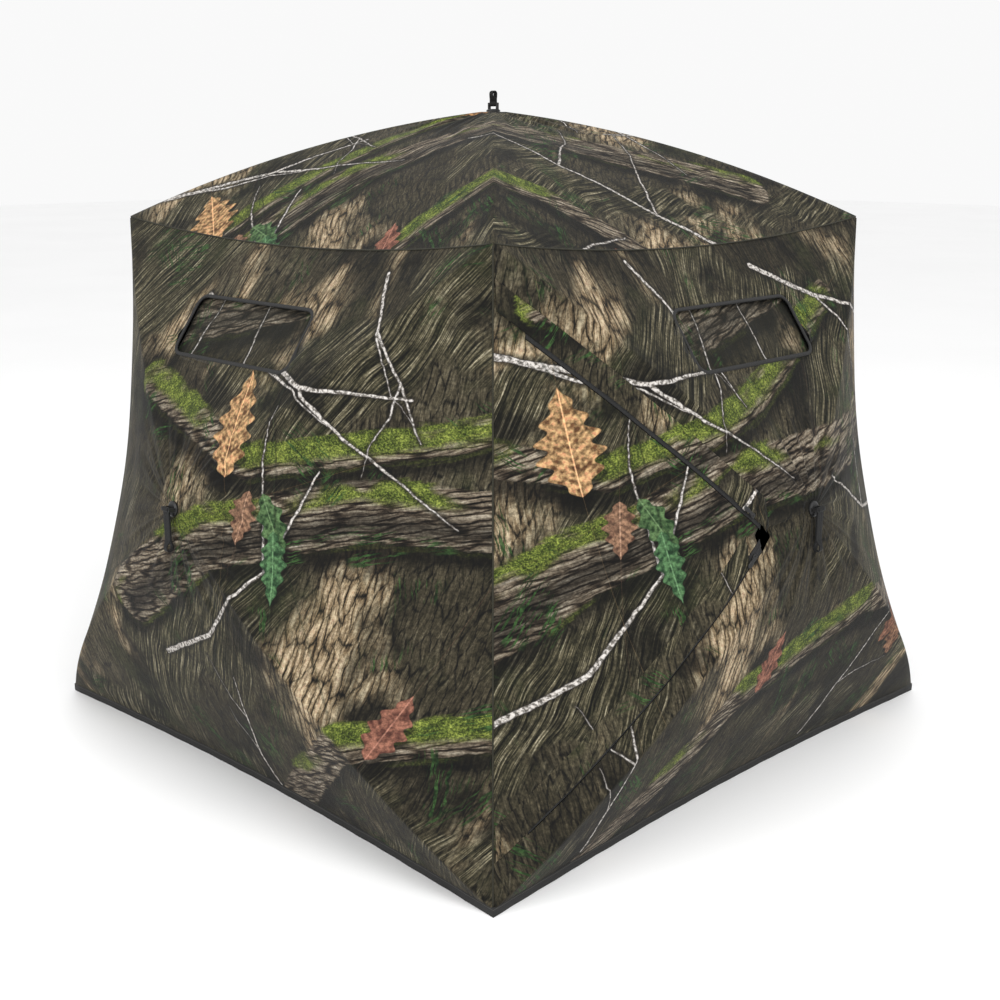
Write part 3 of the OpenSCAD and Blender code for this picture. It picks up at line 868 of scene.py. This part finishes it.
def zipper_material():
    """Woven zipper tape, with the coil's teeth along its middle."""
    m, g, shader = material("zipper")
    run, across = on_tape(g)
    tooth_pitch, thread_pitch = 0.0016, 0.0011
    teeth = ribs(g, run, tooth_pitch)
    on_coil = g.step(g.math("ABSOLUTE", across), 0.0035, 0.0028)
    weave = ribs(g, run + across, thread_pitch)
    lint = g.noise(in_object(g), 260, 3)
    base = g.ramp(lint * 0.6 + weave * 0.2, (0.25, rgb(7, 7, 7)), (0.8, rgb(26, 26, 26)))
    # painted shade between the coil's teeth and painted highlight on their tops
    coil = g.ramp(teeth, (0.2, rgb(4, 4, 4)), (0.9, rgb(38, 38, 39)))
    surface(g, shader, g.mix(on_coil, base, coil), g.math("MULTIPLY_ADD", on_coil, -0.35, 0.78))
    bump(g, shader, on_coil * teeth * 2.0 + weave * 0.4, 0.0006, 0.9)
    return m


def nylon_material():
    """Black moulded nylon: fine spark-eroded grain and a little uneven gloss."""
    m, g, shader = material("black_nylon")
    p = in_object(g)
    grain = g.noise_3d(p, 1400.0, 2.0)
    scuff = g.noise_3d(p, 60.0, 5.0)
    surface(g, shader, g.ramp(scuff, (0.35, rgb(6, 6, 6)), (0.75, rgb(20, 20, 20))),
            g.math("MULTIPLY_ADD", scuff, 0.25, 0.35))
    bump(g, shader, grain, 0.0002, 0.5)
    return m


def rod_material():
    """Pultruded fibreglass: dark glossy resin with faint clouds and small flecks."""
    m, g, shader = material("fibreglass_rod")
    p = in_object(g)
    fleck = g.noise_3d(p, 520.0, 4.0, 0.7)
    cloud = g.noise_3d(p, 18.0, 3.0)
    mixed = g.math("MULTIPLY_ADD", fleck, 0.7, g.math("MULTIPLY", cloud, 0.3))
    surface(g, shader, g.ramp(mixed, (0.38, rgb(26, 28, 26)), (0.62, rgb(58, 60, 54))),
            g.math("MULTIPLY_ADD", fleck, 0.25, 0.24))
    shader.inputs["Coat Weight"].default_value = 0.3
    bump(g, shader, fleck, 0.0001, 0.4)
    return m


def steel_material():
    """Turned steel pins: bright, with fine scratches."""
    m, g, shader = material("pin_steel")
    scratch = g.noise_3d(in_object(g), 900.0, 4.0)
    surface(g, shader, g.ramp(scratch, (0.3, rgb(140, 142, 144)), (0.7, rgb(196, 198, 200))),
            g.math("MULTIPLY_ADD", scratch, 0.3, 0.2))
    shader.inputs["Metallic"].default_value = 1.0
    return m


woodland()
CAMO = [camo_material("camo_front", (-0.72, 0.02)), camo_material("camo_right", (0.0, 0.0)),
        camo_material("camo_back", (0.12, -0.10)), camo_material("camo_left", (-0.08, 0.03)),
        camo_material("camo_roof", (0.10, 0.18), turn=28)]
# the window covers' copy of the print, darkened with painted shade for their place behind the opening
SHADED_CAMO_COVER = camo_material("camo_cover_painted_shade", (0.55, -0.32), painted_shade=0.25)
# the rain flaps' copy of the print, brightened with painted light so they read lighter than the wall
LIT_CAMO_FLAP = camo_material("camo_flap_painted_light", (-0.35, -0.25), light=1.25)
SEAM_CLOTH = cloth_material("seam_cloth", (22, 22, 16), (52, 50, 38), 0.0012)
STITCHED = stitched_material()
ZIPPER = zipper_material()
LINING = cloth_material("black_lining", (11, 11, 11), (24, 24, 23), 0.0009)
WEBBING = cloth_material("black_webbing", (4, 4, 4), (20, 20, 20), 0.0022, ridges=0.0004)
NYLON = nylon_material()
ROD = rod_material()
STEEL = steel_material()


# ---- cloth panels ----

def thick(obj, thickness, lining=0):
    """Gives a sheet its thickness, inward. With lining 1 the inner face takes the second material."""
    solid = obj.modifiers.new("thickness", "SOLIDIFY")
    solid.thickness, solid.offset = thickness, -1.0
    solid.material_offset = lining
    solid.material_offset_rim = lining


def make_panels():
    for p, name in enumerate(PANELS):
        obj, weights = panel_cloth(p)
        bends_with_hub(obj, p, weights)
        thick(obj, PRINTED_CLOTH, lining=1)
        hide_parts("roof" if p == ROOF else "wall_" + name)


# ---- seams and bindings ----

def tube_object(name, points, radius, material, squeeze, up, sides=8):
    """A capped tube round a line; squeeze flattens it along up."""
    t = unit(np.gradient(points, axis=0))
    side = unit(np.cross(t, np.broadcast_to(up, points.shape)))
    top = np.cross(side, t)
    a = np.linspace(0, 2 * np.pi, sides, endpoint=False)
    rings = points[:, None] + radius * (np.cos(a)[None, :, None] * side[:, None]
                                        + squeeze * np.sin(a)[None, :, None] * top[:, None])
    n = len(rings)
    faces = ring_faces(n, sides, closed=False)
    faces += [list(range(sides))[::-1], [(n - 1) * sides + j for j in range(sides)]]
    uv = tape_uv(run_along(points), np.arange(sides) * 0.002)
    return new_object(name, rings.reshape(-1, 3), faces, [material], uv.reshape(-1, 2))


def seam_line(p, edge, count=90):
    """A line along the edge of a panel, just above the cloth."""
    s = np.linspace(0.004, 0.996, count)
    return cloth_point(p, edge, s, np.zeros_like(s)) + SEAM_LIFT * outward_of(p)


def outward_of(p):
    return turned(out_of(p), p) if p != ROOF else out_of(p)


def make_seams():
    """Felled seams: a low raised fold on each corner and each eave."""
    for p, wall in enumerate(WALLS):
        for kind, edge, outward in (("corner", 1, (1, -1, 0.1)), ("eave", 0, (0, -1, 0.6))):
            up = turned(unit(np.array(outward)), p)
            seam = tube_object(f"{kind}_seam_{wall}", seam_line(p, edge), SEAM_R, SEAM_CLOTH, SEAM_FLAT, up)
            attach(seam, ROOT)


def hem_path(count=61):
    """The bottom edge of the four walls, anticlockwise, and the outward direction there."""
    s = np.linspace(1, 0, count)[:-1]
    line = np.concatenate([turned(on_cloth(0, 2, s, np.zeros_like(s)), p) for p in range(4)])
    t = unit(np.roll(line, -1, 0) - np.roll(line, 1, 0))
    out = np.stack([t[:, 1], -t[:, 0], 0 * t[:, 0]], -1)
    return line, unit(out)


def make_hem():
    """Black tape folded round the hem, with its row of stitches."""
    base, out = hem_path()
    base[:, 2] = 0
    # (place outward, height), down the outside, round the fold at the floor and up the inside
    section = [(0.0012, HEM_H + 0.0055), (0.0031, HEM_H + 0.0045), (0.0034, HEM_H * 0.55), (0.0030, 0.0022),
               (0.0014, 0.0004), (-0.0012, 0.0004), (-0.0032, 0.0024), (-0.0036, HEM_H * 0.55),
               (-0.0034, HEM_H + 0.0045), (-0.0014, HEM_H + 0.0055)]
    step = np.arange(len(base))
    wobble = 0.0006 * np.sin(step * 1.9) + 0.0004 * np.sin(step * 0.77)
    rings = np.stack([base + (d + wobble * (d > 0))[:, None] * out + np.array([0, 0, z])
                      for d, z in section], 1)
    faces = [[a, d, c, b] for a, b, c, d in ring_faces(*rings.shape[:2])]
    uv = tape_uv(run_along(base), [z for _, z in section])
    hem = new_object("hem_binding", rings.reshape(-1, 3), faces, [STITCHED], uv.reshape(-1, 2))
    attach(hem, ROOT)
    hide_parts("hem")


# ---- windows ----

def on_window(p, x, y, z):
    """Points in the model's frame from window coordinates: along it, up it and out of it."""
    middle, right, up, out = window_axes()
    return turned(middle + x[..., None] * right + y[..., None] * up + z[..., None] * out, p)


def make_binding(p):
    """A folded black tape round the gap for the window, bulging outward."""
    name = WALLS[p]
    # (outward from the gap's edge, height over the wall), once round the fold
    profile = [(BINDING + 0.0030, -0.0016), (BINDING + 0.0022, 0.0008), (BINDING * 0.6, 0.0026),
               (BINDING * 0.15, 0.0022), (-0.0012, -0.0006), (BINDING * 0.2, -0.0042),
               (BINDING + 0.0050, -0.0052)]
    rings = []
    for grow, rise in profile:
        ring = window_ring(WINDOW_W / 2 + grow, WINDOW_H / 2 + grow, WINDOW_ROUND + grow, 9)
        rings.append(on_window(p, ring[:, 0], ring[:, 1], np.full(len(ring), rise)))
    rings = np.stack(rings, 1)
    n, m = rings.shape[:2]
    uv = tape_uv(run_along(rings[:, 2]), np.linspace(0, 0.02, m))
    binding = new_object(f"window_binding_{name}", rings.reshape(-1, 3), ring_faces(n, m), [STITCHED],
                         uv.reshape(-1, 2))
    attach(binding, f"window_{name}")
    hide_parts(f"window_frame_{name}")


def make_cover(p):
    """Camo cloth hung behind the window, slack between its corners."""
    name = WALLS[p]
    half = (WINDOW_W / 2, WINDOW_H / 2)
    x = np.linspace(-1, 1, 41)[None, :] * (half[0] + COVER_LAP)
    y = np.linspace(-1, 1, 19)[:, None] * (half[1] + COVER_LAP)
    x, y = np.broadcast_arrays(x, y)
    across, up = x / half[0], y / half[1]
    slack = (0.0032 * np.sin(7 * across + 2 * up + p) * np.cos(2.4 * up)
             + 0.0016 * np.sin(15 * across - 4 * up))
    q = on_window(p, x, y, slack * 0.55 - COVER_BEHIND)
    work = Patchwork()
    work.grid(q, np.ones(x.shape), print_xy(p, q))
    # its cloth carries painted shade
    cover, _ = work.build(f"window_cover_cloth_{name}", [SHADED_CAMO_COVER, LINING], turned(window_axes()[3], p))
    thick(cover, COVER_CLOTH, lining=1)
    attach(cover, f"window_cover_{name}")
    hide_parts(f"window_cover_{name}")


# ---- door and zippers ----

def make_door():
    """The door: the cloth between the zippers, meeting the wall's cloth along the corner seam."""
    work = Patchwork()
    inward = TAPE_SHARE + PLAY_SHARE
    u = np.linspace(DOOR_FROM - 0.001, ZIP_TIP - TIP_SLOPE * inward, DOOR_ROWS)[:, None]
    t = np.linspace(0, 1, DOOR_COLS)[None, :]
    s = zip_s(-1, u, inward) * (1 - t) + zip_s(1, u, inward) * t
    cloth_grid(work, DOOR_WALL, DOOR_EDGE, s, u, DOOR_LIFT)
    obj, u_of = work.build("door_cloth", [CAMO[DOOR_WALL], LINING], outward_of(DOOR_WALL))
    bends_at_door(obj)
    thick(obj, PRINTED_CLOTH, lining=1)
    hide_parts("door_panel")


def bends_at_door(obj):
    """Bakes the cloth's transform into its mesh. Where it would bend from the wall's seam into the door is
    worked out but not used.
    """
    ends = np.array([DOOR_FROM, DOOR_FROM + DOOR_BEND])
    at = turned(on_cloth(0, DOOR_EDGE, 0.5, ends), DOOR_WALL)
    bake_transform(obj)


def zipper_band(side, shares, heights, first, last, count):
    """Grid of points along a zipper: shares across it towards the door, and heights above the cloth."""
    u = np.linspace(first, last, count)[:, None]
    s = np.concatenate([zip_s(side, u, k) for k in shares], 1)
    u = np.broadcast_to(u, s.shape)
    rise = folds(DOOR_WALL, DOOR_EDGE, s, u) + heights
    return turned(on_cloth(0, DOOR_EDGE, s, u) + rise[..., None] * WALL_OUT, DOOR_WALL), u


def make_flap(side, name):
    """A rain flap sewn on above a zipper and hanging over it, with a turned edge."""
    if side > 0:
        sewn, free = -TAPE_SHARE - FLAP_SHARE, 0.25 * TAPE_SHARE
        last = GAP_TIP - 0.008
    else:
        sewn, free = TAPE_SHARE + FLAP_SHARE, -0.4 * TAPE_SHARE
        last = ZIP_TIP - TIP_SLOPE * (TAPE_SHARE + FLAP_SHARE * 0.5)
    shares = sewn + (free - sewn) * np.array([0, 0.02, 0.06, 0.2, 0.4, 0.6, 0.8, 0.93, 0.98, 1.0])
    heights = np.array([-0.0005, 0.0016, 0.0020, 0.0026, 0.0034, 0.0040, 0.0042, 0.0036, 0.0042, 0.0030])
    q, u = zipper_band(side, shares, heights, 0.004, last, 80)
    run = run_along(q[:, 0])
    ripple = 0.0011 * np.sin(run[:, None] * 38 + side) * np.linspace(0, 1, q.shape[1])[None, :]
    q = q + ripple[..., None] * outward_of(DOOR_WALL)
    work = Patchwork()
    work.grid(q, u, print_xy(DOOR_WALL, q))
    # both faces carry the flap's painted light
    obj, u_of = work.build(name, [LIT_CAMO_FLAP, LIT_CAMO_FLAP], outward_of(DOOR_WALL))
    if side > 0:
        bends_with_hub(obj, DOOR_WALL, u_of)
    else:
        bends_at_door(obj)
    thick(obj, FLAP_CLOTH)


def make_zippers():
    """Black tape on both sides of the coil. The tape stays with the door's frame."""
    shares = np.array([-1, -0.93, -0.34, -0.22, -0.10, 0, 0.10, 0.22, 0.34, 0.93, 1]) * TAPE_SHARE * 0.94
    half = [-0.0012, -0.0002, -0.0002, 0.0009, 0.0017]
    heights = np.array(half + [0.0012] + half[::-1])
    for side, name in ((1, "upper"), (-1, "lower")):
        q, u = zipper_band(side, shares, heights, DOOR_FROM + 0.001, ZIP_TIP - 0.012, 120)
        work = Patchwork()
        work.grid(q, u, tape_uv(run_along(q[:, 0]), np.linspace(-TAPE / 2, TAPE / 2, q.shape[1])))
        obj, _ = work.build(f"zipper_tape_{name}", [ZIPPER], outward_of(DOOR_WALL))
        thick(obj, TAPE_CLOTH)
        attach(obj, "door_frame")
    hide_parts("door_zipper_tape")


# lofts of a slider's body, its bridge and its pull tab: (place along, half width, low, high)
SLIDER_LOFTS = [
    [(-0.0080, 0.0042, -0.001, 0.0028), (-0.0070, 0.0058, -0.001, 0.0036), (-0.0015, 0.0062, -0.001, 0.0040),
     (0.0040, 0.0050, -0.001, 0.0038), (0.0080, 0.0034, -0.001, 0.0030)],
    [(-0.0045, 0.0012, 0.0034, 0.0044), (-0.0035, 0.0014, 0.0036, 0.0068), (0.0020, 0.0014, 0.0036, 0.0070),
     (0.0035, 0.0012, 0.0034, 0.0046)],
    [(0.0005, 0.0030, 0.0052, 0.0066), (0.0030, 0.0042, 0.0050, 0.0066), (0.0120, 0.0036, 0.0046, 0.0064),
     (0.0150, 0.0050, 0.0042, 0.0064), (0.0240, 0.0054, 0.0036, 0.0062), (0.0285, 0.0042, 0.0036, 0.0058),
     (0.0300, 0.0024, 0.0038, 0.0054)]]


def rounded_ring(half, low, high, sides=12, squareness=0.45):
    """Points of a rounded rectangle across a slider: (beside, above)."""
    ring = []
    for k in range(sides):
        a = 2 * math.pi * (k + 0.5) / sides
        c, s = math.cos(a), math.sin(a)
        ring.append((math.copysign(abs(c) ** squareness, c) * half,
                     math.copysign(abs(s) ** squareness, s) * (high - low) / 2 + (low + high) / 2))
    return ring


def loft(bm, rings):
    """Faces between rings of points, and over both ends."""
    rings = [[bm.verts.new(tuple(q)) for q in ring] for ring in rings]
    for a, b in zip(rings, rings[1:]):
        for k in range(len(a)):
            nxt = (k + 1) % len(a)
            bm.faces.new([a[k], a[nxt], b[nxt], b[k]])
    bm.faces.new(rings[0][::-1])
    bm.faces.new(rings[-1])


def make_slider(side, name):
    """Slider: a waisted body over the coil with its bridge, and a pull tab that widens into a grip."""
    here, further, inner = (turned(on_cloth(0, DOOR_EDGE, zip_s(side, u, inset), u), DOOR_WALL)
                            for u, inset in ((SLIDER_AT, 0), (SLIDER_AT - 0.01, 0), (SLIDER_AT, 0.02)))
    along = unit(further - here)
    normal = unit(np.cross(along, unit(inner - here)))
    normal = normal if normal @ outward_of(DOOR_WALL) > 0 else -normal
    beside = np.cross(normal, along)
    base = here + normal * 0.0024
    bm = bmesh.new()
    for sections in SLIDER_LOFTS:
        loft(bm, [[base + along * x + beside * y + normal * z for y, z in rounded_ring(*size)]
                  for x, *size in sections])
    mesh = bpy.data.meshes.new(f"slider_{name}")
    bmesh.ops.recalc_face_normals(bm, faces=bm.faces)
    bm.to_mesh(mesh)
    bm.free()
    mesh.polygons.foreach_set("use_smooth", [True] * len(mesh.polygons))
    obj = linked(f"slider_{name}", mesh, [NYLON])
    edge = obj.modifiers.new("edge", "BEVEL")
    edge.width, edge.segments, edge.limit_method = 0.0004, 2, "ANGLE"
    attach(obj, f"zipper_slider_{name}")
    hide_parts(f"zipper_slider_{name}")


# ---- pull straps ----

def strap_path(tail, loop_r):
    """Side view of the folded webbing: round the bar, down both layers and round the open loop."""
    r = BAR_R + 0.0007 + WEB_T / 2
    gap, wide = WEB_T / 2 + 0.0001, loop_r + WEB_T / 2
    centre = -(tail + 2.4 * loop_r)
    start = -tail + 0.002
    round_bar = [math.radians(-90 + 14 + (360 - 28) * k / 24) for k in range(25)]
    round_loop = [math.radians(180 + 180 * k / 16) for k in range(17)]
    # half of the way down: the straight layer, and where it opens into the loop
    layer = [(gap, y) for y in np.linspace(-r - 0.003, start, 12)]
    opening = [(gap + (wide - gap) * t * t * (3 - 2 * t), start + (centre + tail) * t)
               for t in (k / 8 for k in range(1, 8))]
    half = layer + opening
    return np.array([(r * math.cos(a), r * math.sin(a)) for a in round_bar]
                    + [(-x, y) for x, y in half]
                    + [(wide * math.cos(a), centre + wide * math.sin(a)) for a in round_loop]
                    + half[::-1])


def make_strap(p):
    """A flat webbing loop on the bar of a hub's cap. It hangs on the walls and stands on the roof."""
    tail, loop_r = ROOF_STRAP if p == ROOF else WALL_STRAP
    path = strap_path(tail, loop_r)
    bar = hub_at(p) + BAR_H * out_of(p)
    away, wide, up = np.array([0, 1.0, 0]), np.array([1.0, 0, 0]), np.array([0, 0, -1.0])
    if p != ROOF:
        bar, away, wide, up = turned(bar, p), turned(-away, p), turned(wide, p), -up
    line = bar + path[:, :1] * away + path[:, 1:] * up
    t = unit(np.roll(path, -1, 0) - np.roll(path, 1, 0))
    normal = unit(t[:, 1:] * away - t[:, :1] * up)
    # the webbing is gathered where it forms the open loop
    gather = 1 - 0.45 * np.clip((-path[:, 1] - tail) / 0.012, 0, 1)
    across = np.array([-1, -0.97, -0.90, -0.5, 0, 0.5, 0.90, 0.97, 1]) * STRAP_W / 2
    puff = np.array([0.25, 0.8, 1.0, 0.97, 1.0, 0.97, 1.0, 0.8, 0.25]) * WEB_T / 2
    middle = line[:, None] + (gather[:, None] * across[None, :])[..., None] * wide
    rise = puff[None, :, None] * normal[:, None]
    grid = np.concatenate([middle + rise, (middle - rise)[:, ::-1]], 1)
    uv = tape_uv(run_along(line), np.concatenate([across, across[::-1]]))
    obj = new_object(f"strap_{PANELS[p]}", grid.reshape(-1, 3), ring_faces(*grid.shape[:2]), [WEBBING],
                     uv.reshape(-1, 2))
    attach(obj, f"pull_strap_{PANELS[p]}")
    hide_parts(f"pull_strap_{PANELS[p]}")


# ---- CAD nodes that keep their shape ----

def dress_hardware():
    """Their own materials for the poles, pins, hubs, caps and pockets."""
    finishes = {"pole_": ROD, "hub_pins_": STEEL, "hub_": NYLON, "corner_pockets_": WEBBING}
    for node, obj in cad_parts.items():
        kind = next((start for start in finishes if node.startswith(start)), None)
        if kind:
            obj.data.materials.clear()
            obj.data.materials.append(finishes[kind])


# ---- floor, light and camera ----

def make_floor():
    mesh = bpy.data.meshes.new("floor")
    square = [(-FLOOR_HALF, -FLOOR_HALF, 0), (FLOOR_HALF, -FLOOR_HALF, 0), (FLOOR_HALF, FLOOR_HALF, 0),
              (-FLOOR_HALF, FLOOR_HALF, 0)]
    mesh.from_pydata(square, [], [(0, 1, 2, 3)])
    m, g, shader = material("studio_floor")
    tone = g.ramp(g.noise(in_object(g), 0.6, 3), (0.3, (0.95, 0.95, 0.95)), (0.7, (0.97, 0.97, 0.97)))
    g.feed(shader.inputs["Base Color"], tone)
    shader.inputs["Roughness"].default_value = 0.9
    linked("floor", mesh, [m])


def area_light(name, at, target, size, power):
    data = bpy.data.lights.new(name, "AREA")
    data.shape, data.size, data.energy = "SQUARE", size, power
    obj = bpy.data.objects.new(name, data)
    obj.location = at
    obj.rotation_euler = (Vector(target) - Vector(at)).to_track_quat("-Z", "Y").to_euler()
    bpy.context.scene.collection.objects.link(obj)


def make_lights():
    world = bpy.data.worlds.new("studio")
    bpy.context.scene.world = world
    world.use_nodes = True
    sky = world.node_tree.nodes["Background"]
    sky.inputs["Color"].default_value = (1.0, 1.0, 1.0, 1)
    sky.inputs["Strength"].default_value = 0.95
    area_light("key", (5.0, -2.0, 5.5), (0, 0, 0.8), 3.0, 260)
    area_light("fill", (0.5, -6.0, 3.5), (0, 0, 0.8), 4.0, 150)
    bpy.context.scene.view_settings.view_transform = "Standard"


def make_camera():
    """Seen from in front of the corner between the front wall and the door wall, slightly above the eaves."""
    data = bpy.data.cameras.new("camera")
    camera = bpy.data.objects.new("camera", data)
    bpy.context.scene.collection.objects.link(camera)
    bpy.context.scene.camera = camera
    away = CAMERA_FROM_AXIS / math.sqrt(2)
    camera.location = (away, -away, CAMERA_Z)
    camera.rotation_euler = (math.radians(90 - CAMERA_DOWN), 0, math.radians(45))
    data.sensor_width, data.lens = 36.0, CAMERA_LENS
    data.shift_x = CAMERA_SHIFT
    data.clip_start, data.clip_end = 0.05, 100


make_camera()
make_lights()
make_floor()
make_panels()
make_seams()
make_hem()
for wall in range(4):
    make_binding(wall)
    make_cover(wall)
make_door()
make_flap(1, "rain_flap_upper")
make_flap(-1, "rain_flap_lower")
make_zippers()
make_slider(1, "upper")
make_slider(-1, "lower")
for panel in range(5):
    make_strap(panel)
dress_hardware()
